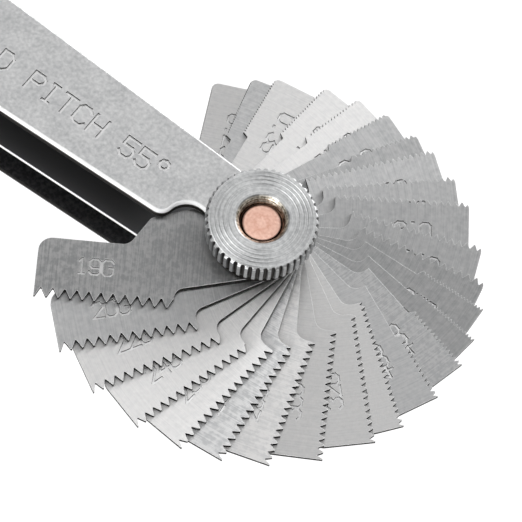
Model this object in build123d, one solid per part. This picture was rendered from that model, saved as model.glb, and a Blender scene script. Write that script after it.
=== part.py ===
"""Double-ended screw pitch gauge: 52 toothed steel leaves in a folded sheet case.

Each end of the case holds a pack of 26 leaves on a screw with a knurled nut. The 14 inch leaves lie
above a divider plate and the 12 metric leaves below it. The leaves of the fine end stand fanned out
round their screw, and those of the coarse end are folded away inside the case.

Frame, in millimetres: the fine end's screw stands on Z at x = y = 0, the case runs from it along -X,
its folded back is on the +Y side and its open side on the -Y side, and z = 0 is the underside of the
two screw heads, on which the gauge lies.
"""

import os
from math import asin, atan, ceil, cos, degrees, hypot, radians, sin, sqrt, tan

from build123d import *

os.makedirs("parts", exist_ok=True)

# ---------------------------------------------------------------- driving dimensions, millimetres

# case, folded from one sheet, and the plate between its two bays
pivot_spacing = 66.0
sheet = 1.4
back_offset = 4.42  # outer face of the folded back, from the line through both screws
open_offset = 4.92  # open edge from that line, at a screw
open_taper = 3.8  # degrees by which the open edge runs away from that line, up to the middle
window_reach = 14.0  # the back is cut away this far from each screw, to let the leaves swing
edge_round = 0.35  # outer edges of both cheeks, tumbled round, and the folds
eye_radius = 5.66  # rounded end of a cheek, round the screw
waist_radius = 2.55  # hollow between the eye and the open edge, where a finger meets the leaves
waist_bearing = 34.0  # degrees from the case's line to the middle of the hollow, seen from the screw
corner_round = 1.5
divider_thickness = 0.6
divider_lip = 0.3  # the divider stands this far out of the open side

# screws and knurled nuts
screw_diameter = 5.0
screw_end_bevel = 0.4
screw_sink = 1.0  # the screw's end lies this far below the nut's top face
head_diameter = 9.0
head_height = 1.2
head_round = 0.25
nut_diameter = 12.7
nut_height = 2.86
nut_bevel = 0.3
countersink_width = 0.47  # from the bore out to the rim, along the radius
knurl_teeth = 45
knurl_depth = 0.28
running_gap = 0.05  # radial clearance of every leaf and nut on its screw

# leaves: pivot at the origin, teeth along +X, on the +Y side
leaf_thickness = 0.47
leaf_gap = 0.04  # between any two neighbours in the pack
leaf_reach = 24.35  # end edge, from the pivot
tooth_line = 9.83  # crests of the teeth, from the pivot
body_width = 7.15  # crests to the back edge
toothed_start = 8.9  # where the long rows of teeth begin
short_row = 8.1  # length of the row on a fine leaf
short_relief = 0.75  # a fine leaf's edge is this much lower beside its short row
short_row_pitch = 0.65  # leaves finer than this have the short row
hub_radius = 5.07
neck_slope = 14.7  # degrees from the teeth to the neck's edge
neck_round = 1.3
end_round = 1.6
metric_end_round = 0.8  # on metric leaves, the corner beside the teeth is rounded as well
notch_reach = 14.4  # foot of the notch in the back edge
heel_reach = 12.2
heel_drop = 0.85  # the heel's outer corner is this far beyond the pivot line
heel_root_reach = 7.5
heel_root_drop = 2.5
notch_round = 1.4
heel_round = 0.8
nest_gap = 0.12  # folded leaf to the inside of the back
crest_share = 0.1  # flat on each crest and root, as a share of the pitch

# stamped marks
mark_height = 2.1
mark_advance = 1.45
mark_stroke = 0.26
mark_depth = 0.16
mark_inset = 6.45  # a mark's middle, from the leaf's end edge
mark_margin = 0.35
title_height = 2.7
title_advance = 2.2
title_stroke = 0.32
title_depth = 0.2
title_end = 13.2  # last character of a title, from the fine end's screw
title_offset = -1.9
title_slope = 1.6  # degrees
titles = ("THREAD PITCH 55°", "THREAD PITCH 60°")  # on the upper cheek and on the lower one

inch = 25.4
inch_angle = 55.0  # degrees between the flanks of an inch thread
metric_angle = 60.0

# The fine end's leaves from the top of the pack down: mark, and the way the leaf stands, in degrees
# anticlockwise from +X to its row of teeth.
fine_inch = [
    ("19", -146),
    ("20", -130.5),
    ("22", -117.5),
    ("24", -104),
    ("25", -92.5),
    ("26", -82.5),
    ("28", -71),
    ("30", -58),
    ("32", -44),
    ("36", -35.5),
    ("40", -23.5),
    ("48", -12.5),
    ("60", -4.5),
    ("62", 4.5),
]
fine_metric = [
    ("1.0", 13),
    ("0.9", 23),
    ("0.8", 36),
    ("0.75", 44.5),
    ("0.7", 54),
    ("0.6", 60.5),
    ("0.5", 70),
    ("0.45", 78.5),
    ("0.4", 87.5),
    ("0.35", 100.5),
    ("0.3", 106.5),
    ("0.25", 116.5),
]
coarse_inch = ["4", "4.5", "5", "6", "7", "8", "9", "10", "11", "12", "13", "14", "16", "18"]
coarse_metric = ["1.25", "1.5", "1.75", "2.0", "2.5", "3.0", "3.5", "4.0", "4.5", "5.0", "5.5", "6.0"]

# ---------------------------------------------------------------- heights and places that follow

leaf_pitch = leaf_thickness + leaf_gap
inch_count = len(fine_inch)
metric_count = len(fine_metric)
bay_height = (inch_count + metric_count) * leaf_pitch + divider_thickness + 2 * leaf_gap

lower_cheek_z = head_height
floor_z = lower_cheek_z + sheet
divider_z = floor_z + metric_count * leaf_pitch + leaf_gap
ceiling_z = floor_z + bay_height
nut_z = ceiling_z + sheet + leaf_gap
nut_top_z = nut_z + nut_height
screw_top_z = nut_top_z - screw_sink

middle_x = -pivot_spacing / 2
back_inside = back_offset - sheet
screw_radius = screw_diameter / 2
bore_radius = screw_radius + running_gap
countersink_radius = bore_radius + countersink_width
back_line = tooth_line - body_width
mark_reach = leaf_reach - mark_inset

# The neck's edge leaves the hub at a tangent and rises to neck_top, where the teeth begin.
neck_tangent = (-hub_radius * sin(radians(neck_slope)), hub_radius * cos(radians(neck_slope)))
neck_top = neck_tangent[1] + (toothed_start - neck_tangent[0]) * tan(radians(neck_slope))
neck_round_top = neck_top + neck_round * tan(radians(45 - neck_slope / 2))

# A folded leaf rests its rounded corner beside the inside of the back: the corner's centre stands
# at corner_x, corner_y from the pivot, and nest_angle turns it up to nest_gap from the back.
corner_x = leaf_reach - end_round
corner_y = back_line + end_round
nest_height = back_inside - nest_gap - end_round
nest_angle = degrees(asin(nest_height / hypot(corner_x, corner_y)) + atan(corner_y / corner_x))
folded_bearing = -180.0 - nest_angle

overshoot = 1.0  # how far a cutting shape reaches past what it cuts

# ---------------------------------------------------------------- stamped characters

# Strokes of each character on a grid 4 wide and 6 high, as runs of corner points.
STROKES = {
    "0": [[(1, 0), (3, 0), (4, 1), (4, 5), (3, 6), (1, 6), (0, 5), (0, 1), (1, 0)]],
    "1": [[(1, 5), (2, 6), (2, 0)], [(1, 0), (3, 0)]],
    "2": [[(0, 5), (1, 6), (3, 6), (4, 5), (4, 4), (0, 0), (4, 0)]],
    "3": [[(0, 5), (1, 6), (3, 6), (4, 5), (4, 4), (3, 3), (4, 2), (4, 1), (3, 0), (1, 0), (0, 1)]],
    "4": [[(3, 0), (3, 6), (0, 2), (4, 2)]],
    "5": [[(4, 6), (0, 6), (0, 3.5), (3, 3.5), (4, 2.5), (4, 1), (3, 0), (1, 0), (0, 1)]],
    "6": [[(4, 5), (3, 6), (1, 6), (0, 5), (0, 1), (1, 0), (3, 0), (4, 1), (4, 2.5), (3, 3.5), (0, 3.5)]],
    "7": [[(0, 6), (4, 6), (1.5, 0)]],
    "8": [
        [(1, 3), (0, 4), (0, 5), (1, 6), (3, 6), (4, 5), (4, 4), (3, 3), (1, 3)],
        [(1, 3), (0, 2), (0, 1), (1, 0), (3, 0), (4, 1), (4, 2), (3, 3)],
    ],
    "9": [[(0, 1), (1, 0), (3, 0), (4, 1), (4, 5), (3, 6), (1, 6), (0, 5), (0, 3.5), (1, 2.5), (4, 2.5)]],
    ".": [[(1.7, 0), (2.3, 0)]],
    "A": [[(0, 0), (2, 6), (4, 0)], [(0.7, 2), (3.3, 2)]],
    "C": [[(4, 5), (3, 6), (1, 6), (0, 5), (0, 1), (1, 0), (3, 0), (4, 1)]],
    "D": [[(0, 0), (0, 6), (2.6, 6), (4, 4.6), (4, 1.4), (2.6, 0), (0, 0)]],
    "E": [[(4, 6), (0, 6), (0, 0), (4, 0)], [(0, 3), (3, 3)]],
    "G": [[(4, 5), (3, 6), (1, 6), (0, 5), (0, 1), (1, 0), (3, 0), (4, 1), (4, 3), (2.5, 3)]],
    "H": [[(0, 0), (0, 6)], [(4, 0), (4, 6)], [(0, 3), (4, 3)]],
    "I": [[(2, 0), (2, 6)], [(1, 0), (3, 0)], [(1, 6), (3, 6)]],
    "P": [[(0, 0), (0, 6), (3, 6), (4, 5), (4, 4), (3, 3), (0, 3)]],
    "R": [[(0, 0), (0, 6), (3, 6), (4, 5), (4, 4), (3, 3), (0, 3)], [(2, 3), (4, 0)]],
    "T": [[(2, 0), (2, 6)], [(0, 6), (4, 6)]],
    "°": [[(1, 4), (2, 3.6), (3, 4), (3.4, 5), (3, 6), (2, 6.4), (1, 6), (0.6, 5), (1, 4)]],
    " ": [],
}
GRID_WIDTH = 4
GRID_HEIGHT = 6


def stamp(text, height, advance, stroke, depth):
    """The solid that stamping takes away: a text centred on the origin, from z = -depth up."""
    scale = (height - stroke) / GRID_HEIGHT
    first = -advance * (len(text) - 1) / 2
    cuts = []
    for place, character in enumerate(text):
        for run in STROKES[character]:
            for start, end in zip(run, run[1:]):
                shift = Vector(first + place * advance, 0)
                a = (Vector(*start) - Vector(GRID_WIDTH / 2, GRID_HEIGHT / 2)) * scale + shift
                b = (Vector(*end) - Vector(GRID_WIDTH / 2, GRID_HEIGHT / 2)) * scale + shift
                bar = Rectangle((b - a).length + stroke, stroke)
                slope = (b - a).get_signed_angle(Vector(1, 0, 0), Vector(0, 0, -1))
                cuts.append(Pos((a + b) * 0.5) * Rot(0, 0, slope) * bar)
    face = cuts[0] + cuts[1:]
    return Pos(0, 0, -depth) * extrude(face, 2 * depth)


# ---------------------------------------------------------------- case and divider


def corners_at(shape, x, y):
    """The corner of a flat shape that is nearest to a point."""
    return shape.vertices().sort_by_distance((x, y, 0))[0]


def end_outline(lip):
    """One half of a cheek, from the middle of the case to the eye; lip moves its open edge out."""
    slope = tan(radians(open_taper))
    reach = eye_radius + waist_radius
    waist_x = -reach * cos(radians(waist_bearing))
    waist_y = -reach * sin(radians(waist_bearing))
    open_y = -open_offset - lip
    handle = Polygon(
        (middle_x, back_offset),
        (middle_x, open_y + middle_x * slope),
        (waist_x, open_y + waist_x * slope),
        (waist_x, back_offset),
        align=None,
    )
    neck = Polygon(
        (waist_x, waist_y),
        (0, 0),
        (0, back_offset),
        (waist_x, back_offset),
        align=None,
    )
    outline = handle + neck - Pos(waist_x, waist_y) * Circle(waist_radius)
    lug = corners_at(outline, waist_x - waist_radius, open_y + waist_x * slope)
    outline = fillet(lug, corner_round)
    eye_x = -sqrt(eye_radius**2 - back_offset**2)
    outline = outline + Circle(eye_radius)
    return fillet(corners_at(outline, eye_x, back_offset), waist_radius)


def cheek_outline(lip=0.0):
    """A whole cheek: two like ends that meet in the middle of the case."""
    half = end_outline(lip)
    return half + mirror(half, Plane.YZ.offset(middle_x))


def both_pivots():
    """The places of the two screws."""
    return [Pos(0, 0, 0), Pos(-pivot_spacing, 0, 0)]


def channel_case():
    """Two cheeks and the folded back between them, one sheet bent twice."""
    cheek = extrude(cheek_outline(), sheet)
    back_length = pivot_spacing - 2 * window_reach
    case_height = bay_height + 2 * sheet
    back_align = (Align.CENTER, Align.MAX, Align.MIN)
    back = Pos(middle_x, back_offset, lower_cheek_z) * Box(back_length, sheet, case_height, align=back_align)
    case = Pos(0, 0, lower_cheek_z) * cheek + Pos(0, 0, ceiling_z) * cheek + back
    for pivot in both_pivots():
        case -= pivot * Cylinder(bore_radius, 2 * nut_top_z)
    for end in (0, -1):
        outer_face = case.faces().sort_by(Axis.Z)[end]
        case = fillet(outer_face.outer_wire().edges(), edge_round)
    title_length = title_advance * (len(titles[0]) - 1)
    centre_x = -title_end - title_length / 2
    for title, face_z, turned_over in zip(titles, (ceiling_z + sheet, lower_cheek_z), (0, 180)):
        cut = stamp(title, title_height, title_advance, title_stroke, title_depth)
        case -= Pos(centre_x, title_offset, face_z) * Rot(turned_over, 0, title_slope) * cut
    return case


def divider_plate():
    """The plate between the inch and the metric leaves, held by both screws against the back."""
    room = Rectangle(2 * pivot_spacing, pivot_spacing, align=(Align.CENTER, Align.MAX))
    outline = cheek_outline(divider_lip) & Pos(middle_x, back_inside) * room
    for pivot in both_pivots():
        outline -= pivot * Circle(bore_radius)
    return Pos(0, 0, divider_z) * extrude(outline, divider_thickness)


# ---------------------------------------------------------------- screw and nut


def pivot_screw():
    """A low flat-headed screw: its head bears on the lower cheek, and its end is bevelled."""
    end_radius = screw_radius - screw_end_bevel
    profile = Polygon(
        (0, 0),
        (head_diameter / 2, 0),
        (head_diameter / 2, head_height),
        (screw_radius, head_height),
        (screw_radius, screw_top_z - screw_end_bevel),
        (end_radius, screw_top_z),
        (0, screw_top_z),
        align=None,
    )
    screw = revolve(Plane.XZ * profile, Axis.Z)
    rim = screw.edges().filter_by(GeomType.CIRCLE).group_by(Axis.Z)[0]
    return fillet(rim, head_round)


def knurled_nut():
    """A flat round nut with a straight knurl and a countersunk hole."""
    outer = nut_diameter / 2
    root = outer - knurl_depth
    step = 360 / knurl_teeth
    rim = []
    for tooth in range(knurl_teeth):
        for share, radius in ((0, outer), (0.25, outer), (0.5, root), (0.75, root)):
            bearing = radians((tooth + share) * step)
            rim.append((radius * cos(bearing), radius * sin(bearing)))
    disc = extrude(Polygon(*rim, align=None), nut_height)
    turned = Polygon(
        (bore_radius, 0),
        (outer - nut_bevel, 0),
        (outer, nut_bevel),
        (outer, nut_height - nut_bevel),
        (outer - nut_bevel, nut_height),
        (countersink_radius, nut_height),
        (bore_radius, nut_height - countersink_width),
        align=None,
    )
    nut = disc & revolve(Plane.XZ * turned, Axis.Z)
    return Pos(0, 0, nut_z) * nut


# ---------------------------------------------------------------- leaves


def tooth_depth(pitch, angle):
    """Height of a tooth whose crest and root are both cut flat."""
    sharp = pitch / 2 / tan(radians(angle / 2))
    return sharp * (1 - 2 * crest_share)


def has_short_row(pitch):
    return pitch < short_row_pitch


def comb(pitch, angle):
    """The area above the finished edge: over the crests, down into each gap, and over the relief.

    A long row of small teeth runs out at the neck in part of a gap; one of larger teeth stops short of it.
    """
    depth = tooth_depth(pitch, angle)
    crest = crest_share * pitch
    above = tooth_line + 2 * overshoot
    if has_short_row(pitch):
        row_start = leaf_reach - short_row
    else:
        row_start = toothed_start
    room = (leaf_reach - crest - row_start) / pitch
    clears_neck = tooth_line - depth > neck_round_top
    if clears_neck and not has_short_row(pitch):
        gaps = ceil(room)
    else:
        gaps = int(room)
    points = [(leaf_reach + overshoot, above), (leaf_reach + overshoot, tooth_line)]
    for gap in range(gaps):
        centre = leaf_reach - crest / 2 - (gap + 0.5) * pitch
        points += [
            (centre + (pitch - crest) / 2, tooth_line),
            (centre + crest / 2, tooth_line - depth),
            (centre - crest / 2, tooth_line - depth),
            (centre - (pitch - crest) / 2, tooth_line),
        ]
    if has_short_row(pitch):
        points += [
            (row_start, tooth_line),
            (row_start - short_relief / 2, tooth_line - short_relief),
            (toothed_start - overshoot, tooth_line - short_relief),
            (toothed_start - overshoot, above),
        ]
    else:
        points += [(toothed_start - overshoot, tooth_line), (toothed_start - overshoot, above)]
    return Polygon(*points, align=None)


def end_corner():
    """What is cut from a metric leaf to round the corner between its teeth and its end edge."""
    arc_x = leaf_reach - metric_end_round
    arc_y = tooth_line - metric_end_round
    block = Polygon(
        (arc_x, arc_y),
        (leaf_reach + overshoot, arc_y),
        (leaf_reach + overshoot, tooth_line + overshoot),
        (arc_x, tooth_line + overshoot),
        align=None,
    )
    return block - Pos(arc_x, arc_y) * Circle(metric_end_round)


def leaf_outline(pitch, angle):
    """A leaf lying along +X with its pivot at the origin: hub, neck, heel, notch and toothed body."""
    above = tooth_line + overshoot
    plate = Polygon(
        (hub_radius / 2, 0),
        (heel_root_reach, -heel_root_drop),
        (heel_reach, -heel_drop),
        (notch_reach, back_line),
        (leaf_reach, back_line),
        (leaf_reach, above),
        (toothed_start, above),
        (toothed_start, neck_top),
        neck_tangent,
        align=None,
    )
    for x, y, radius in (
        (toothed_start, neck_top, neck_round),
        (leaf_reach, back_line, end_round),
        (notch_reach, back_line, notch_round),
        (heel_reach, -heel_drop, heel_round),
        (heel_root_reach, -heel_root_drop, heel_round),
    ):
        plate = fillet(corners_at(plate, x, y), radius)
    outline = plate + Circle(hub_radius) - comb(pitch, angle) - Circle(bore_radius)
    if angle == metric_angle:
        outline -= end_corner()
    return outline


def leaf(text, pitch, angle, mirrored=False):
    """One leaf at z = 0, stamped on top; the coarse end's leaves are the fine end's seen in a mirror."""
    root_line = tooth_line - tooth_depth(pitch, angle)
    lowest = back_line + mark_margin + mark_height / 2
    mark_y = max((root_line + back_line) / 2, lowest)
    outline = leaf_outline(pitch, angle)
    cut = stamp(text, mark_height, mark_advance, mark_stroke, mark_depth)
    if mirrored:
        outline = mirror(outline, Plane.XZ)
        mark = Pos(mark_reach, -mark_y, leaf_thickness) * cut
    else:
        mark = Pos(mark_reach, mark_y, leaf_thickness) * Rot(0, 0, 180) * cut
    return extrude(outline, leaf_thickness, dir=(0, 0, 1)) - mark


def leaf_height(place_from_bottom):
    """Underside of a leaf, counted from the lowest in the pack; the divider lies above the metric ones."""
    height = floor_z + leaf_gap + place_from_bottom * leaf_pitch
    if place_from_bottom >= metric_count:
        height += divider_thickness + leaf_gap
    return height


def plain_name(mark):
    return mark.replace(".", "_")


def export(node, solid):
    export_step(solid, f"parts/{node}.step")


# ---------------------------------------------------------------- the whole gauge


def main():
    export("channel_case", channel_case())
    export("divider_plate", divider_plate())
    screw = pivot_screw()
    nut = knurled_nut()
    for end, pivot in zip(("fine", "coarse"), both_pivots()):
        export(f"pivot_screw_{end}", pivot * screw)
        export(f"knurled_nut_{end}", pivot * nut)

    top = inch_count + metric_count - 1
    for order, (mark, bearing) in enumerate(fine_inch):
        blade = leaf(mark + "G", inch / float(mark), inch_angle)
        place = Pos(0, 0, leaf_height(top - order)) * Rot(0, 0, bearing)
        export(f"leaf_{plain_name(mark)}_per_inch", place * blade)
    for order, (mark, bearing) in enumerate(fine_metric):
        blade = leaf(mark, float(mark), metric_angle)
        place = Pos(0, 0, leaf_height(metric_count - 1 - order)) * Rot(0, 0, bearing)
        export(f"leaf_{plain_name(mark)}_mm", place * blade)

    for order, mark in enumerate(coarse_inch):
        blade = leaf(mark + "G", inch / float(mark), inch_angle, mirrored=True)
        place = Pos(-pivot_spacing, 0, leaf_height(top - order)) * Rot(0, 0, nest_angle)
        export(f"leaf_{plain_name(mark)}_per_inch", place * blade)
    for order, mark in enumerate(coarse_metric):
        blade = leaf(mark, float(mark), metric_angle, mirrored=True)
        place = Pos(-pivot_spacing, 0, leaf_height(metric_count - 1 - order)) * Rot(0, 0, nest_angle)
        export(f"leaf_{plain_name(mark)}_mm", place * blade)


main()
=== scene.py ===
# %% [markdown]
# # A screw pitch gauge, finished in Blender
#
# The gauge is a folded steel case with a pack of toothed leaves on a screw at each end. A knurled nut
# clamps each pack. Its shapes and joints come from a CAD model, which is loaded as a fixed frame.
# This script gives every piece the finish of the real one, makes the nuts and screws anew with their
# turned and threaded detail, and sets up a light table, a studio dome and a camera.

# %% Load the frame
import math

import bpy
import numpy as np
from mathutils import Matrix, Vector


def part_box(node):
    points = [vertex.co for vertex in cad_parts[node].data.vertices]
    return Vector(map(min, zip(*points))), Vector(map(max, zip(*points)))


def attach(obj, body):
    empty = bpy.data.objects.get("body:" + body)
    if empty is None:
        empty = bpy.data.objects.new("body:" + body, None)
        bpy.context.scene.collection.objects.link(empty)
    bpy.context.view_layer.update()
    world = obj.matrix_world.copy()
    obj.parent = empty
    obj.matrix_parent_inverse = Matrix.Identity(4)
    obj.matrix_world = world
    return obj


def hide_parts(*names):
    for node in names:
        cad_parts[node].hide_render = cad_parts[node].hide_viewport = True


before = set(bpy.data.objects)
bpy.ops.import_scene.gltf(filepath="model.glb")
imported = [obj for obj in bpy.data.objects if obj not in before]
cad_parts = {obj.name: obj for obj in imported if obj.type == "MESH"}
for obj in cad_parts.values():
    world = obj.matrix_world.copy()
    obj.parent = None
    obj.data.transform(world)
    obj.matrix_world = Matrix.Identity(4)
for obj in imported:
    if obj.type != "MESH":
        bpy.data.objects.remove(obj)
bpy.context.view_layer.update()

mm = 0.001

# %% [markdown]
# ## Where things are
#
# Every place is read from the frame, so nothing has to be fitted by eye. A screw stands in the middle
# of its nut's box, and a node's box also gives the heights at which pieces meet.

# %% Read the places of the two ends
ENDS = ("fine", "coarse")


def middle(node):
    """The middle of a node's box."""
    low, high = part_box(node)
    return (low + high) / 2


pivots = {end: Vector((*middle(f"knurled_nut_{end}").xy, 0)) for end in ENDS}
nut_low, nut_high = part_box("knurled_nut_fine")
screw_low, screw_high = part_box("pivot_screw_fine")
case_low, case_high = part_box("channel_case")
print("screws stand at", {end: tuple(round(v / mm, 2) for v in place) for end, place in pivots.items()})

# %% [markdown]
# ## Camera
#
# A long lens looks down on the fanned end from about 65 degrees. A camera can be given a position and
# a rotation, but bearing, elevation, roll and distance say more plainly how it stands, and each can be
# changed without the others. Its matrix is built from three unit vectors: right, up and back.

# %% Set up the camera
CAMERA_BEARING = 30.43  # degrees, 0 looks along +Y
CAMERA_ELEVATION = 64.97
CAMERA_ROLL = 8.625
CAMERA_DISTANCE = 406.2 * mm
LENS = 251.3  # focal length and sensor width are in millimetres
SENSOR = 36
NEAREST, FARTHEST = 0.01, 10  # metres, the range of distances that is rendered
TARGET_HEIGHT = 16.5 * mm  # the camera turns round this point on the axis of the fine end's screw
AIM_RIGHT = 0.13 * mm  # the aim lies this far from that point, in the picture's directions
AIM_UP = -2.9 * mm

bearing, elevation = math.radians(CAMERA_BEARING), math.radians(CAMERA_ELEVATION)
back = Vector((
    math.sin(bearing) * math.cos(elevation),
    -math.cos(bearing) * math.cos(elevation),
    math.sin(elevation),
))
level = Vector((math.cos(bearing), math.sin(bearing), 0))
rolled = Matrix.Rotation(math.radians(CAMERA_ROLL), 3, back)
right = rolled @ level
up = back.cross(right)
target = pivots["fine"] + Vector((0, 0, TARGET_HEIGHT))
position = target + CAMERA_DISTANCE * back
aim = target + AIM_RIGHT * right + AIM_UP * up
axis_back = (position - aim).normalized()
axis_right = up.cross(axis_back).normalized()
axis_up = axis_back.cross(axis_right)

camera_data = bpy.data.cameras.new("camera")
camera_data.lens = LENS
camera_data.sensor_width = SENSOR
camera_data.clip_start = NEAREST
camera_data.clip_end = FARTHEST
camera = bpy.data.objects.new("camera", camera_data)
rotation = Matrix((axis_right, axis_up, axis_back)).transposed()
camera.matrix_world = Matrix.Translation(position) @ rotation.to_4x4()
bpy.context.scene.collection.objects.link(camera)
bpy.context.scene.camera = camera
print("camera stands", [round(v / mm, 1) for v in position], "mm from the origin")

# %% [markdown]
# ## Colours and nodes
#
# Colours are written as sRGB hex values, as a colour picker gives them. Shaders calculate with light,
# so one function turns them to linear values. Another adds a node with its settings and links, and
# small ones give the few operations that the finishes share. Nodes could also be joined by hand in
# the shader editor, but a finish that is made by a function can be made again for every piece.


# %% Define the colour and node helpers
def linear(colour):
    """Linear red, green, blue and alpha of an sRGB hex colour.

    Each channel c becomes ((c + 0.055) / 1.055)^2.4, or c / 12.92 where it is nearly black.
    """
    channels = [int(colour[place:place + 2], 16) / 255 for place in (1, 3, 5)]
    return (*(c / 12.92 if c <= 0.04045 else ((c + 0.055) / 1.055) ** 2.4 for c in channels), 1)


def add_node(tree, kind, values=(), links=()):
    """Adds a node. Values set properties or inputs, by name or number, and links join sockets to inputs."""
    node = tree.nodes.new("ShaderNode" + kind)
    for name, value in dict(values).items():
        if isinstance(name, int) or name in node.inputs:
            node.inputs[name].default_value = value
        else:
            setattr(node, name, value)
    for name, source in dict(links).items():
        tree.links.new(source, node.inputs[name])
    return node


def new_material(name):
    """An empty material with its node tree, and its output node."""
    material = bpy.data.materials.new(name)
    material.use_nodes = True
    material.node_tree.nodes.clear()
    return material, material.node_tree, add_node(material.node_tree, "OutputMaterial")


def math_node(tree, operation, first, second):
    """The result socket of a Math node. Its two operands are numbers or sockets."""
    operands = {0: first, 1: second}
    numbers = {place: value for place, value in operands.items() if isinstance(value, (int, float))}
    sockets = {place: value for place, value in operands.items() if place not in numbers}
    return add_node(tree, "Math", {"operation": operation, **numbers}, sockets).outputs[0]


def noise(tree, vector, size, **settings):
    """The socket of a noise with features of a size."""
    node = add_node(tree, "TexNoise", {"Scale": 1 / size, **settings}, {"Vector": vector})
    return node.outputs["Fac"]


def between(tree, value, start, end):
    """A socket that is 0 where the value is at its start, 1 at its end, and rises evenly between."""
    node = add_node(tree, "MapRange", {"From Min": start, "From Max": end}, {"Value": value})
    return node.outputs["Result"]


def sunk(tree, value, surface, depth, start, end):
    """A socket that rises from 0 to 1 between two shares of a depth below a surface."""
    return between(tree, value, surface - start * depth, surface - end * depth)


def blend(tree, first, second, share):
    """A colour socket between two colours, each a hex value or a socket."""
    node = add_node(tree, "Mix", {"data_type": "RGBA"}, {"Factor": share})
    for place, colour in ((6, first), (7, second)):
        if isinstance(colour, str):
            node.inputs[place].default_value = linear(colour)
        else:
            tree.links.new(colour, node.inputs[place])
    return node.outputs[2]


# %% [markdown]
# ## Light table and dome
#
# Bright metal shows only what surrounds it, so its light is a matter of surroundings and not of lamps.
# Small steel tools are shot on a white light table. Two long softboxes stand low, one on each side
# along Y, a soft strip hangs overhead, and between them dark card leans in from both X ends, with the
# plain grey room behind its foot. The card gives the leaves that point its way their darker tone.
# Area lamps could do that, but a dome whose brightness changes smoothly with direction is softer and
# free of noise. Its brightness follows y squared minus x squared of the direction: -1 towards the
# cards, 0 overhead and 1 towards the softboxes. The studio's dark corner behind the tripod is a round
# dark patch in the dome, and it gives the undersides of steps and teeth their black lines.

# %% Make the dome
DOME_STEPS = (  # place from the cards to the softboxes, share of full light
    (0.0, 0.13),
    (0.15, 0.07),
    (0.4, 0.03),
    (0.475, 0.3),
    (0.54, 0.165),
    (0.6, 0.11),
    (0.675, 0.11),
    (0.8, 0.26),
    (1.0, 1.0),
)
DOME_STRENGTH = 6.0
TRIPOD_CORNER = Vector((0.214, -0.365, 0.906))  # direction of the dark corner
CORNER_WIDTH = 20  # degrees from its middle to where its shade begins
CORNER_CORE = 12  # and to where it is full
CORNER_LIGHT = 0.05  # share of the light that is left there

world = bpy.data.worlds.new("studio_dome")
bpy.context.scene.world = world
world.use_nodes = True
tree = world.node_tree
tree.nodes.clear()
direction = add_node(tree, "TexCoord")
parts = add_node(tree, "SeparateXYZ", links={"Vector": direction.outputs["Generated"]})
x_squared = math_node(tree, "MULTIPLY", parts.outputs["X"], parts.outputs["X"])
y_squared = math_node(tree, "MULTIPLY", parts.outputs["Y"], parts.outputs["Y"])
side = math_node(tree, "SUBTRACT", y_squared, x_squared)
ramp = add_node(tree, "ValToRGB", links={"Fac": between(tree, side, -1, 1)})
while len(ramp.color_ramp.elements) < len(DOME_STEPS):
    ramp.color_ramp.elements.new(0.5)
for element, (step, share) in zip(ramp.color_ramp.elements, DOME_STEPS):
    element.position = step
    element.color = (share, share, share, 1)
nearness = add_node(tree, "VectorMath", {"operation": "DOT_PRODUCT", 1: TRIPOD_CORNER}, {
    0: direction.outputs["Generated"],
})
light = add_node(tree, "MapRange", {
    "interpolation_type": "SMOOTHSTEP",
    "From Min": math.cos(math.radians(CORNER_WIDTH)),
    "From Max": math.cos(math.radians(CORNER_CORE)),
    "To Min": DOME_STRENGTH,
    "To Max": DOME_STRENGTH * CORNER_LIGHT,
}, {"Value": nearness.outputs["Value"]})
sky = add_node(tree, "Background", links={
    "Color": ramp.outputs["Color"],
    "Strength": light.outputs["Result"],
})
add_node(tree, "OutputWorld", links={"Surface": sky.outputs["Background"]})
print("dome with", len(DOME_STEPS), "steps of brightness")

# %% Make the light table
TABLE_SIDE = 3.0  # metres
TABLE_LIGHT = 0.9

corners = [(x * TABLE_SIDE / 2, y * TABLE_SIDE / 2, 0) for x, y in ((-1, -1), (1, -1), (1, 1), (-1, 1))]
table_mesh = bpy.data.meshes.new("light_table")
table_mesh.from_pydata(corners, [], [(0, 1, 2, 3)])
table = bpy.data.objects.new("light_table", table_mesh)
bpy.context.scene.collection.objects.link(table)
acrylic, tree, output = new_material("opal_acrylic")
opal = add_node(tree, "BsdfPrincipled", {
    "Base Color": linear("#8C8C8C"),
    "Roughness": 0.8,
    "Emission Color": linear("#FFFFFF"),
    "Emission Strength": TABLE_LIGHT,
})
tree.links.new(opal.outputs["BSDF"], output.inputs["Surface"])
table_mesh.materials.append(acrylic)
bpy.context.scene.view_settings.view_transform = "Standard"
print("light table", TABLE_SIDE, "m wide")

# %% [markdown]
# ## Leaves: ground spring steel
#
# The leaves are stamped from ground strip. The wheel ran across them, so fine scratches run from the
# back edge to the teeth. Such scratches spread a reflection along the leaf's length: each leaf shows
# the part of the dome that lies along it, and so neighbours differ in tone though they are the same
# steel. The shader's anisotropy does this, with a tangent along the leaf's length that turns with it.
# Scratches would also be possible as real bumps, but at this size they would need far more samples.
#
# The tangent needs the bearing of each leaf, which is measured on its mesh.

# %% Find how each leaf lies
# Degrees between a leaf's length and the line from its pivot to its farthest point. The corner there is
# sharp on inch leaves and rounded on metric ones.
SHARP_TIP_LEAD = 22.0
ROUND_TIP_LEAD = 21.0


def end_of(node):
    """The end whose screw a leaf turns on."""
    x = middle(node).x
    return min(ENDS, key=lambda end: abs(pivots[end].x - x))


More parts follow.
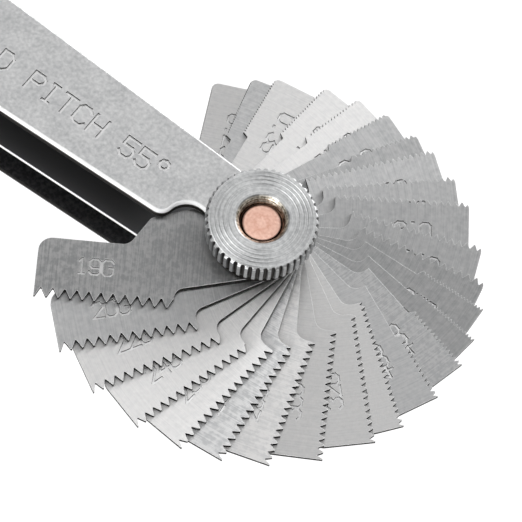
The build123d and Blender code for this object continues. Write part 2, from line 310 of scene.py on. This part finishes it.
def leaf_bearing(node):
    """Bearing of a leaf's length, in degrees from +X, worked out from its farthest point."""
    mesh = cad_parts[node].data
    points = np.zeros(len(mesh.vertices) * 3)
    mesh.vertices.foreach_get("co", points)
    end = end_of(node)
    flat = points.reshape(-1, 3)[:, :2] - np.array(pivots[end][:2])
    x, y = flat[np.argmax((flat**2).sum(axis=1))]
    tip = math.degrees(math.atan2(y, x))
    lead = ROUND_TIP_LEAD if node.endswith("_mm") else SHARP_TIP_LEAD
    return tip - lead if end == "fine" else tip + lead


leaves = [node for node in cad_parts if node.startswith("leaf_")]
bearings = {node: leaf_bearing(node) for node in leaves}
print(len(leaves), "leaves; the first stands at", round(bearings["leaf_19_per_inch"], 1), "degrees")

# %% [markdown]
# ## Worn edges
#
# Edges of sheet are sheared and then deburred. Their corners are worn smooth and catch a white line,
# which a near-white colour on them partly paints as a highlight. Their feet, between one leaf and the
# next, are painted dark as shade, as are the walls of the stamped marks. Real bevels would cost many
# faces on 52 leaves full of teeth. The Bevel node rounds the corners in the shading alone, which suits
# corners this small, and its normal also tells an edge from a face.

# %% Define the worn edge
CORNER_WEAR = 0.09 * mm  # radius of the worn corners
EDGE_ROUGHNESS = 0.75
# Its scattering half is near white, so it partly paints the corner's highlight.
RAGGED = 0.5  # metallic share of a worn corner, which scatters light as much as it mirrors it
UPRIGHT = (0.99, 0.94)  # upright part of the rounded normal where an edge begins, and where it is full
# Near white of worn corners, partly a painted highlight, and of the painted highlight on mark floors.
WORN_AND_HIGHLIGHT_WHITE = "#F4F4F4"
# Dark of the painted shade at the feet of edges and on the walls of marks and letters.
PAINTED_SHADE_DARK = "#242220"


def edge_finish(tree, output, face, painted_shade_and_light, where=None):
    """Gives a sheet's cut edges and worn corners a rough bright finish, and links all to the output.

    The share of the edge is 0 where the rounded normal stands upright and 1 where it leans by 20 degrees
    or more. The fourth argument is 0 where the edge is near white, partly as a painted highlight, and 1
    where it is painted dark as shade. Where says which part of the piece has such edges, all of it if
    nothing is given.
    """
    rounded = add_node(tree, "Bevel", {"Radius": CORNER_WEAR})
    normal = add_node(tree, "SeparateXYZ", links={"Vector": rounded.outputs["Normal"]})
    upright = add_node(tree, "Math", {"operation": "ABSOLUTE"}, {0: normal.outputs["Z"]})
    share = between(tree, upright.outputs[0], *UPRIGHT)
    metallic = add_node(tree, "MapRange", {"To Min": RAGGED, "To Max": 1}, {"Value": painted_shade_and_light})
    edge = add_node(tree, "BsdfPrincipled", {"Roughness": EDGE_ROUGHNESS}, {
        "Base Color": blend(tree, WORN_AND_HIGHLIGHT_WHITE, PAINTED_SHADE_DARK, painted_shade_and_light),
        "Metallic": metallic.outputs["Result"],
        "Normal": rounded.outputs["Normal"],
    })
    both = add_node(tree, "MixShader", links={
        "Fac": math_node(tree, "MULTIPLY", share, where) if where else share,
        1: face.outputs["BSDF"],
        2: edge.outputs["BSDF"],
    })
    tree.links.new(both.outputs["Shader"], output.inputs["Surface"])


# %% [markdown]
# ## Ground faces
#
# Some leaves get a lighter or a darker copy of the steel's colour. This is painted light and shade,
# which makes their tones differ more than the dome's reflection alone makes them. Handling adds faint
# stains, stronger on a few leaves. One noise stretched across the leaf stands for the scratches, and a
# round one for the stains. Their sum colours the steel, roughens it and gives it a slight relief. A
# single material for all leaves would be lighter, but each has its own tangent.

# %% Sort the leaves by tone
# The lighter and darker copies of the steel's colour are painted light and shade; the middle pair is its
# plain colour.
LIT_COPY, PLAIN, SHADED_COPY = ("#CFCFCF", "#EAE9E8"), ("#B4B5B6", "#DADADA"), ("#9FA0A1", "#C8C8C8")
LIT_LEAVES = (
    "22_per_inch", "24_per_inch", "25_per_inch", "28_per_inch", "30_per_inch", "32_per_inch",
    "36_per_inch", "0_25_mm", "0_35_mm", "0_4_mm", "0_45_mm",
)
SHADED_LEAVES = ("19_per_inch", "60_per_inch", "62_per_inch", "1_0_mm", "0_6_mm", "0_5_mm")
STAINED_LEAVES = ("19_per_inch", "26_per_inch", "28_per_inch", "48_per_inch")
PAINTED_LEAF_TONES = dict.fromkeys(LIT_LEAVES, LIT_COPY) | dict.fromkeys(SHADED_LEAVES, SHADED_COPY)
print(len(LIT_LEAVES), "bright leaves,", len(SHADED_LEAVES), "dull,", len(STAINED_LEAVES), "stained")

# %% Make the leaf steel
SCRATCH_WIDTH = 0.14 * mm  # real ones are finer, drawn as coarse as they need to show
SCRATCH_LENGTH = 5.0 * mm
STAIN = 0.6 * mm
SPREAD = 0.3  # the summed noise shows its full range of tones this far from its middle
STAINED_SPREAD = 0.14  # less is a stronger contrast
LEAF_ROUGHNESS = 0.43
ROUGHNESS_SPREAD = 0.05
LEAF_RELIEF = {"Strength": 0.3, "Distance": 0.01 * mm}
MARK_DEPTH = 0.16 * mm
MARK_HIGHLIGHT = (0.3, 0.9)  # shares of the depth between which a mark's floor gets its painted highlight
MARK_SHADE = (0.2, 0.5)  # and between which its walls and the lower part of the leaf's edges get painted shade


def ground_steel(node):
    """Ground spring steel for one leaf, with its scratches across the leaf."""
    turn = math.radians(bearings[node])
    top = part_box(node)[1].z
    name = node.removeprefix("leaf_")
    spread = STAINED_SPREAD if name in STAINED_LEAVES else SPREAD
    material, tree, output = new_material("ground_spring_steel." + node)
    place = add_node(tree, "TexCoord")
    across = add_node(tree, "Mapping", {
        "vector_type": "TEXTURE",
        "Location": pivots[end_of(node)],
        "Rotation": (0, 0, turn),
        "Scale": (SCRATCH_WIDTH, SCRATCH_LENGTH, SCRATCH_LENGTH),
    }, {"Vector": place.outputs["Object"]})
    scratches = noise(tree, across.outputs["Vector"], 1, Detail=3, Roughness=0.6)
    stains = noise(tree, place.outputs["Object"], STAIN, Detail=3)
    marks = math_node(tree, "ADD", scratches, stains)
    uneven = between(tree, marks, 1 - spread, 1 + spread)
    # The listed leaves get their painted lighter or darker colour.
    ground = blend(tree, *PAINTED_LEAF_TONES.get(name, PLAIN), uneven)
    height = add_node(tree, "SeparateXYZ", links={"Vector": place.outputs["Object"]}).outputs["Z"]
    # A mark's floor gets a painted highlight, near white.
    tone = blend(tree, ground, WORN_AND_HIGHLIGHT_WHITE, sunk(tree, height, top, MARK_DEPTH, *MARK_HIGHLIGHT))
    rough = add_node(tree, "MapRange", {
        "To Min": LEAF_ROUGHNESS - ROUGHNESS_SPREAD,
        "To Max": LEAF_ROUGHNESS + ROUGHNESS_SPREAD,
    }, {"Value": uneven})
    bump = add_node(tree, "Bump", LEAF_RELIEF, {"Height": marks})
    length = add_node(tree, "CombineXYZ", {"X": math.cos(turn), "Y": math.sin(turn)})
    tangent = add_node(tree, "VectorTransform", {
        "vector_type": "VECTOR",
        "convert_from": "OBJECT",
        "convert_to": "WORLD",
    }, {"Vector": length.outputs["Vector"]})
    steel = add_node(tree, "BsdfPrincipled", {"Metallic": 1, "Anisotropic": 1}, {
        "Base Color": tone,
        "Roughness": rough.outputs["Result"],
        "Normal": bump.outputs["Normal"],
        "Tangent": tangent.outputs["Vector"],
    })
    # Below the top, the walls of marks and the lower part of each edge get painted shade.
    edge_finish(tree, output, steel, sunk(tree, height, top, MARK_DEPTH, *MARK_SHADE))
    return material


def dress(node, material):
    """Gives a CAD node a new material in its first slot."""
    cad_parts[node].material_slots[0].material = material


for node in leaves:
    dress(node, ground_steel(node))
print("dressed", len(leaves), "leaves")

# %% [markdown]
# ## Case: tumbled stainless sheet
#
# The case is folded from stainless sheet and then tumbled with stones, which rounds its edges and
# leaves a satin skin of small shallow dents. Two sizes of noise give it: grains of about half a
# millimetre, and clouds several millimetres wide. Its inside is painted dark as the shade of the
# enclosed fold. The floor of the stamped title gets a painted highlight and its walls painted shade.
# A point's place tells outside from inside. The inside could have a material of its own, but the case
# is one mesh with one slot, and in one material the two can share their grain.

# %% Make the case steel
GRAIN = 0.45 * mm
CLOUD = 3.5 * mm
CLOUD_SHARE = 0.5
SHEET = 1.4 * mm
CHEEK = (0.5, 0.35)  # shares of the sheet's thickness between which the outside of a cheek comes in
BACK = (0.95, 0.9)  # and the outside of the back
OFF_BACK = (1.0, 1.1)  # and what isn't the back
TITLE_DEPTH = 0.2 * mm
TITLE_HIGHLIGHT = (0.3, 0.8)  # shares of the title's depth between which its floor gets a painted highlight
TITLE_REACH = (1.3, 1.1)  # and between which what lies deeper than the title is left out
STEEP = (0.35, 0.2)  # upright part of the normal between which a face counts as a wall
CASE_ROUGHNESS = 0.38
CASE_RELIEF = {"Strength": 0.6, "Distance": 0.02 * mm}


def tumbled_steel():
    """Tumbled stainless sheet: satin and mottled, dark inside the fold, bright along its rim's corners."""
    material, tree, output = new_material("tumbled_stainless")
    place = add_node(tree, "TexCoord")
    grain = noise(tree, place.outputs["Object"], GRAIN, Detail=3, Roughness=0.6)
    cloud = noise(tree, place.outputs["Object"], CLOUD, Detail=3)
    mixed = add_node(tree, "Math", {"operation": "MULTIPLY_ADD", 1: CLOUD_SHARE}, {0: cloud, 2: grain})
    skin = blend(tree, "#A9AAAB", "#CDCDCD", between(tree, mixed.outputs[0], 0.5, 1.0))
    # The inside, painted dark as the shade of the enclosed fold, grained like the outside.
    shaded_inside = blend(tree, "#5C5C5E", "#8E8E90", between(tree, grain, 0.4, 0.8))
    parts = add_node(tree, "SeparateXYZ", links={"Vector": place.outputs["Object"]})
    middle_z = (case_low.z + case_high.z) / 2
    half = case_high.z - middle_z
    from_middle = math_node(tree, "SUBTRACT", parts.outputs["Z"], middle_z)
    apart = add_node(tree, "Math", {"operation": "ABSOLUTE"}, {0: from_middle}).outputs[0]
    on_cheek = sunk(tree, apart, half, SHEET, *CHEEK)
    on_back = sunk(tree, parts.outputs["Y"], case_high.y, SHEET, *BACK)
    off_back = sunk(tree, parts.outputs["Y"], case_high.y, SHEET, *OFF_BACK)
    outside = math_node(tree, "MAXIMUM", on_cheek, on_back)
    # The title's floor gets a painted highlight.
    highlighted_title = blend(tree, skin, "#DADADA", sunk(tree, apart, half, TITLE_DEPTH, *TITLE_HIGHLIGHT))
    bump = add_node(tree, "Bump", CASE_RELIEF, {"Height": grain})
    steel = add_node(tree, "BsdfPrincipled", {"Metallic": 1, "Roughness": CASE_ROUGHNESS}, {
        "Base Color": blend(tree, shaded_inside, blend(tree, highlighted_title, skin, on_back), outside),
        "Normal": bump.outputs["Normal"],
    })
    shape = add_node(tree, "NewGeometry")
    facing = add_node(tree, "SeparateXYZ", links={"Vector": shape.outputs["True Normal"]})
    level = add_node(tree, "Math", {"operation": "ABSOLUTE"}, {0: facing.outputs["Z"]})
    steep = between(tree, level.outputs[0], *STEEP)
    shallow = sunk(tree, apart, half, TITLE_DEPTH, *TITLE_REACH)
    # Painted shade on the walls of the title and on every edge inside the fold.
    title_walls = math_node(tree, "MULTIPLY", steep, shallow)
    painted_shade_and_light = math_node(tree, "SUBTRACT", title_walls, outside)
    painted_shade_and_light = add_node(tree, "Math", {"operation": "ADD", 1: 1, "use_clamp": True}, {0: painted_shade_and_light})
    edge_finish(tree, output, steel, painted_shade_and_light.outputs[0], off_back)
    return material


dress("channel_case", tumbled_steel())
print("dressed the case, of sheet", round(SHEET / mm, 2), "mm thick")

# %% [markdown]
# ## Divider: rolled plate
#
# The divider is a thinner sheet, painted dark on both faces as shade, like the inside of the case.
# What shows of it is its edge, a white line between the two packs with a painted shade along its lower
# corner. The edge finish gives both, the white line partly as a painted highlight.

# %% Make the divider steel
PLATE_ROUGHNESS = 0.4
PLATE_SHADE = 0.2 * mm  # height of the shade above the plate's underside


def rolled_plate():
    """The divider's steel: as dark as the inside of the case on its faces, worn bright on its edge."""
    material, tree, output = new_material("rolled_plate")
    # Its faces are painted dark as shade.
    steel = add_node(tree, "BsdfPrincipled", {
        "Metallic": 1,
        "Roughness": PLATE_ROUGHNESS,
        "Base Color": linear("#8A8A8C"),
    })
    place = add_node(tree, "TexCoord")
    height = add_node(tree, "SeparateXYZ", links={"Vector": place.outputs["Object"]}).outputs["Z"]
    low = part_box("divider_plate")[0].z
    edge_finish(tree, output, steel, between(tree, height, low + PLATE_SHADE, low))
    return material


dress("divider_plate", rolled_plate())
print("dressed the divider plate")

# %% [markdown]
# ## Turned pieces
#
# Nuts and screws are turned, so both are surfaces of revolution: a profile of radius and height, swept
# round an axis. Radius and height are whole arrays with a row for each point of the profile and
# a column for each bearing, so a knurl or a thread is only a change of radius with row and column.


# %% Define the turning helpers
SHARP_ANGLE = 38  # degrees, edges that bend more than this are shaded sharp


def walk(corners, counts):
    """Points along straight runs between corners: each run is divided evenly by its own count."""
    runs = [
        np.linspace(start, end, count, endpoint=False)
        for start, end, count in zip(corners, corners[1:], counts)
    ]
    return np.vstack([*runs, corners[-1:]])


def soften(points, times, closed):
    """Rounds the corners of a profile: each point moves to the mean of itself and its two neighbours."""
    points = points.copy()
    for _ in range(times):
        mean = (np.roll(points, 1, 0) + points + np.roll(points, -1, 0)) / 3
        if closed:
            points = mean
        else:
            points[1:-1] = mean[1:-1]
    return points


def turned(name, radius, height, bearings, axis, closed):
    """A surface of revolution: x = radius cos b, y = radius sin b, z = height, moved to its axis.

    Rows follow the profile, columns the bearings b. A closed profile joins its last row to its first;
    an open one starts and ends on the axis, where each pole is a single point with a fan of triangles.
    """
    rows, columns = radius.shape
    points = np.stack([radius * np.cos(bearings), radius * np.sin(bearings), height], axis=-1)
    points = points.reshape(-1, 3) + np.array(axis)
    numbers = np.arange(rows * columns).reshape(rows, columns)
    below = numbers if closed else numbers[:-1]
    above = np.roll(numbers, -1, 0) if closed else numbers[1:]
    faces = np.stack([below, np.roll(below, -1, 1), np.roll(above, -1, 1), above], axis=-1).reshape(-1, 4)
    faces = faces.tolist()
    if not closed:
        poles = np.array([[0, 0, height[0].mean()], [0, 0, height[-1].mean()]]) + np.array(axis)
        points = np.vstack([points, poles])
        first, last = numbers[0], numbers[-1]
        low = np.stack([np.roll(first, -1), first, np.full(columns, rows * columns)], axis=-1)
        high = np.stack([last, np.roll(last, -1), np.full(columns, rows * columns + 1)], axis=-1)
        faces += low.tolist() + high.tolist()
    mesh = bpy.data.meshes.new(name)
    mesh.from_pydata(points.tolist(), [], faces)
    mesh.shade_smooth()
    mesh.set_sharp_from_angle(angle=math.radians(SHARP_ANGLE))
    piece = bpy.data.objects.new(name, mesh)
    bpy.context.scene.collection.objects.link(piece)
    return piece


# %% [markdown]
# ## Knurled nut
#
# The nut is turned from bar. A straight knurl of 45 teeth is rolled round its rim, its top is faced
# with a coarse feed that leaves a spiral, and its hole is countersunk and threaded. A bump could stand
# for all three, but knurl and spiral show in the outline and in the reflections, so they are shaped.

# %% Define knurl, thread and spiral
KNURL_TEETH = 45
KNURL_DEPTH = 0.36 * mm
CREST, FLANK = 0.38, 0.34  # a tooth's crest and flank, as shares of half a tooth
THREAD_PITCH = 0.8 * mm
THREAD_DEPTH = 0.3 * mm
FEED = 0.53 * mm  # advance of the facing tool in one turn
FEED_DEPTH = 0.06 * mm
SWAY, SWAY_LENGTH = 0.15, 0.4 * mm  # the feed was a little uneven, in turns and along the radius
GROOVE = 0.15  # half width of the spiral's groove, in turns
LIGHT_CUT, CUT_BEARING = 0.35, 0.3  # lightest cut as a share of the full one, and its bearing in radians


def smooth_step(x):
    """0 below 0, 1 above 1, and 3x^2 - 2x^3 between."""
    x = np.clip(x, 0, 1)
    return x * x * (3 - 2 * x)


def knurl(bearings):
    """Radius lost between the teeth: 0 on a crest, the knurl's depth in a gap, a smooth step between."""
    tooth = np.abs((bearings * KNURL_TEETH / (2 * np.pi)) % 1 - 0.5) * 2  # from 0 in its middle to 1
    return KNURL_DEPTH * smooth_step((tooth - CREST) / FLANK)


def thread(height, bearings):
    """Depth of a V thread: a triangle wave of the height in pitches minus the share of a turn."""
    phase = (height / THREAD_PITCH - bearings / (2 * np.pi)) % 1
    return THREAD_DEPTH * (1 - np.abs(2 * phase - 1))


def facing(radius, bearings):
    """Depth of the tool's spiral: a bell curve of the radius in feeds minus the share of a turn."""
    turn = (radius / FEED - bearings / (2 * np.pi) + SWAY * np.sin(radius / SWAY_LENGTH)) % 1
    groove = np.exp(-((turn - 0.5) / GROOVE) ** 2)
    pressure = LIGHT_CUT + (1 - LIGHT_CUT) * np.sin(bearings - CUT_BEARING) ** 2
    return FEED_DEPTH * groove * pressure


print("knurl of", KNURL_TEETH, "teeth, thread of", round(THREAD_PITCH / mm, 2), "mm pitch")

# %% Make the nuts
NUT_RADIUS = (nut_high.x - nut_low.x) / 2
NUT_BEVEL = 0.3 * mm
BORE = 2.55 * mm  # radius of the hole, and of the countersink's rim
COUNTERSINK = 3.02 * mm
FEED_START = 3.5 * mm  # radius where the spiral begins, and where it is full
FEED_FULL = 3.9 * mm
SKIN = 0.02 * mm  # points this near to the top or to the bore belong to it
NUT_RUN_IN = 0.3 * mm  # height in which the thread reaches its full depth
FADE = 0.1 * mm  # spiral and thread end within this length
NUT_RUNS = (3, 10, 6, 14, 7, 80, 8, 34)  # points along each straight run of the profile
COLUMNS_A_TOOTH = 10


def make_nut(end):
    """A nut: closed profile up the rim, in over the top, down the countersink and the bore."""
    low, high = nut_low.z, nut_high.z
    cone = COUNTERSINK - BORE
    corners = np.array([
        (BORE, low + cone / 2),
        (BORE + cone / 2, low),
        (NUT_RADIUS - NUT_BEVEL, low),
        (NUT_RADIUS, low + NUT_BEVEL),
        (NUT_RADIUS, high - NUT_BEVEL),
        (NUT_RADIUS - NUT_BEVEL, high),
        (COUNTERSINK, high),
        (BORE, high - cone),
        (BORE, low + cone / 2),
    ])
    profile = soften(walk(corners, NUT_RUNS)[:-1], times=2, closed=True)
    columns = KNURL_TEETH * COLUMNS_A_TOOTH
    bearings = np.arange(columns) * 2 * np.pi / columns
    radius = np.repeat(profile[:, :1], columns, axis=1)
    height = np.repeat(profile[:, 1:], columns, axis=1)
    radius = np.minimum(radius, NUT_RADIUS - knurl(bearings))
    on_top = smooth_step((height - high + SKIN) / (SKIN / 2))
    inner = smooth_step((radius - FEED_START) / (FEED_FULL - FEED_START))
    outer = smooth_step((NUT_RADIUS - NUT_BEVEL - radius) / FADE)
    height = height - facing(radius, bearings) * on_top * inner * outer
    in_bore = smooth_step((BORE + SKIN - radius) / SKIN)
    run_in = smooth_step((height - low - cone) / NUT_RUN_IN)
    run_out = smooth_step((high - cone - height) / FADE)
    radius = radius + thread(height, bearings) * in_bore * run_in * run_out
    return turned(f"nut_{end}", radius, height, bearings, pivots[end], closed=True)


nuts = {end: make_nut(end) for end in ENDS}
print("nuts have", len(nuts["fine"].data.polygons), "faces each")

# %% [markdown]
# ## Pivot screw
#
# The screw has a low head below the case, a plain shank that the leaves turn on, and a thread for the
# nut. Little more than its faced end shows, deep in the nut's countersink. The same turned surface
# makes it, with an open profile: both ends close in a fan of triangles round the axis.

# %% Make the screws
SCREW_RADIUS = 2.5 * mm
HEAD_RADIUS = (screw_high.x - screw_low.x) / 2
HEAD_HEIGHT = 1.2 * mm
HEAD_ROUND = 0.25 * mm
SCREW_BEVEL = 0.4 * mm
SCREW_RUN_IN = 0.4 * mm
SCREW_RUNS = (10, 4, 6, 6, 8, 40, 5, 12)
SCREW_COLUMNS = 128
POLE = 0.1 * mm  # radius of the fans that close both ends


def make_screw(end):
    """A screw: open profile from the middle of its head, up the shank to the middle of its end."""
    top = screw_high.z
    corners = np.array([
        (POLE, 0),
        (HEAD_RADIUS - HEAD_ROUND, 0),
        (HEAD_RADIUS, HEAD_ROUND),
        (HEAD_RADIUS, HEAD_HEIGHT),
        (SCREW_RADIUS, HEAD_HEIGHT),
        (SCREW_RADIUS, case_high.z),
        (SCREW_RADIUS, top - SCREW_BEVEL),
        (SCREW_RADIUS - SCREW_BEVEL, top),
        (POLE, top),
    ])
    profile = soften(walk(corners, SCREW_RUNS), times=1, closed=False)
    bearings = np.arange(SCREW_COLUMNS) * 2 * np.pi / SCREW_COLUMNS
    radius = np.repeat(profile[:, :1], SCREW_COLUMNS, axis=1)
    height = np.repeat(profile[:, 1:], SCREW_COLUMNS, axis=1)
    run_in = smooth_step((height - case_high.z) / SCREW_RUN_IN)
    run_out = smooth_step((top - SCREW_BEVEL - height) / FADE)
    radius = radius - thread(height, bearings) * run_in * run_out
    return turned(f"screw_{end}", radius, height, bearings, pivots[end], closed=False)


screws = {end: make_screw(end) for end in ENDS}
print("screws have", len(screws["fine"].data.polygons), "faces each")

# %% [markdown]
# ## Turned finishes
#
# A lathe leaves rings of fine scratches, which stretch reflections across them into the bright and
# dark sectors that turned faces show. A radial tangent with a quarter turn gives that, and noise that
# is looked up by radius and height alone gives the rings. A ring texture would do too, but it repeats
# evenly, as no lathe does.

# %% Define the turned finish
PIT_WIDTH = 0.35 * mm
MARK_TONES = (0.75, 1.25)  # the summed noise shows its full range of tones between these
TURNED_RELIEF = {"Strength": 0.3, "Distance": 0.01 * mm}


def turned_metal(name, axis, dark, light, ring_width):
    """A material with rings about an axis and small pits, coloured from dark to light.

    Gives the material, its tree and output, and sockets for radius, height, marks and colour.
    """
    material, tree, output = new_material(name)
    place = add_node(tree, "TexCoord")
    centred = add_node(tree, "Mapping", {"vector_type": "TEXTURE", "Location": axis}, {
        "Vector": place.outputs["Object"],
    })
    parts = add_node(tree, "SeparateXYZ", links={"Vector": centred.outputs["Vector"]})
    flat = add_node(tree, "CombineXYZ", links={"X": parts.outputs["X"], "Y": parts.outputs["Y"]})
    length = add_node(tree, "VectorMath", {"operation": "LENGTH"}, {0: flat.outputs["Vector"]})
    radius, height = length.outputs["Value"], parts.outputs["Z"]
    rings = add_node(tree, "CombineXYZ", links={"X": radius, "Z": height})
    ring_marks = noise(tree, rings.outputs["Vector"], ring_width, Detail=2)
    pits = noise(tree, centred.outputs["Vector"], PIT_WIDTH, Detail=3)
    marks = math_node(tree, "ADD", ring_marks, pits)
    colour = blend(tree, dark, light, between(tree, marks, *MARK_TONES))
    return material, tree, output, radius, height, marks, colour


def finish_turned(tree, output, colour, marks, roughness, anisotropic):
    """Links a turned metal's shader, whose reflections stretch across its rings, to the output."""
    bump = add_node(tree, "Bump", TURNED_RELIEF, {"Height": marks})
    tangent = add_node(tree, "Tangent", {"direction_type": "RADIAL", "axis": "Z"})
    metal = add_node(tree, "BsdfPrincipled", {
        "Metallic": 1,
        "Roughness": roughness,
        "Anisotropic": anisotropic,
        "Anisotropic Rotation": 0.25,
    }, {
        "Base Color": colour,
        "Normal": bump.outputs["Normal"],
        "Tangent": tangent.outputs["Tangent"],
    })
    tree.links.new(metal.outputs["BSDF"], output.inputs["Surface"])


# %% [markdown]
# ## Nut steel
#
# The nut's top and the crests of its knurl keep the steel's own colour. The gaps of the knurl and its
# other faces below the top are painted dark as shade, and the hole gets a painted brown reflection whose
# darker patches also paint the shade in its thread. Masks by radius and height place them.

# %% Make the nut steel
NUT_RINGS = 0.09 * mm
TOP_SHADE = (0.04 * mm, 0.2 * mm)  # depths below the top between which the painted shade comes in
CREST_SHADE = (0.08 * mm, 0.9 * KNURL_DEPTH)  # and depths below the crests
HOLE_EDGE = (4.0 * mm, 3.5 * mm)  # radii between which the painted shade gives way to the hole's painted reflection
# Tones of the hole's painted reflection.
HOLE_REFLECTION_TONES = (0.85, 1.15)


def nut_steel(end):
    """Turned steel: plain on top and on the crests, painted shade in the knurl, a painted reflection in the
    hole.
    """
    material, tree, output, radius, height, marks, colour = turned_metal(
        f"turned_steel.{end}", pivots[end], "#A6A7A8", "#CBCCCC", NUT_RINGS)
    below_top = between(tree, height, nut_high.z - TOP_SHADE[0], nut_high.z - TOP_SHADE[1])
    off_crest = between(tree, radius, NUT_RADIUS - CREST_SHADE[0], NUT_RADIUS - CREST_SHADE[1])
    # The hole's painted reflection, brown, lighter and darker in patches.
    hole_reflection = blend(tree, "#6A6254", "#DDD6C8", between(tree, marks, *HOLE_REFLECTION_TONES))
    # Painted shade, dark, beyond the hole.
    shade_and_reflection = blend(tree, "#2A2622", hole_reflection, between(tree, radius, *HOLE_EDGE))
    painted_shade_and_light = blend(tree, colour, shade_and_reflection, math_node(tree, "MULTIPLY", below_top, off_crest))
    finish_turned(tree, output, painted_shade_and_light, marks, roughness=0.3, anisotropic=0.6)
    return material


for end in ENDS:
    nuts[end].data.materials.append(nut_steel(end))
    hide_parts(f"knurled_nut_{end}")
    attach(nuts[end], f"nut_{end}")
print("nuts finished")

# %% [markdown]
# ## Screw metal
#
# The screw is copper-coloured. Its end was faced in one pass and rubbed dull, so its rings are wide and
# faint. A dark ring of painted shade, the shade of the gap round the end, sits on its bevel.

# %% Make the screw metal
SCREW_RINGS = 1.2 * mm
END_SHADE = (0.04 * mm, 0.1 * mm)  # depths below the end between which the painted shade comes in
BEVEL_SHADE = (0.7, 0.5)  # shares of the bevel between which the painted shade fades out again further down


def faced_copper(end):
    """Copper-coloured metal, faced on its end, with a dark ring of painted shade on its bevel."""
    material, tree, output, _, height, marks, colour = turned_metal(
        f"faced_copper.{end}", pivots[end], "#D9A794", "#F2CBBA", SCREW_RINGS)
    below_end = between(tree, height, screw_high.z - END_SHADE[0], screw_high.z - END_SHADE[1])
    on_bevel = sunk(tree, height, screw_high.z, SCREW_BEVEL, *BEVEL_SHADE)
    # A dark ring of painted shade on the bevel.
    shaded_bevel = blend(tree, colour, "#2E201C", math_node(tree, "MULTIPLY", below_end, on_bevel))
    finish_turned(tree, output, shaded_bevel, marks, roughness=0.35, anisotropic=0.2)
    return material


for end in ENDS:
    screws[end].data.materials.append(faced_copper(end))
    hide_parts(f"pivot_screw_{end}")
    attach(screws[end], "root")
print("screws finished")
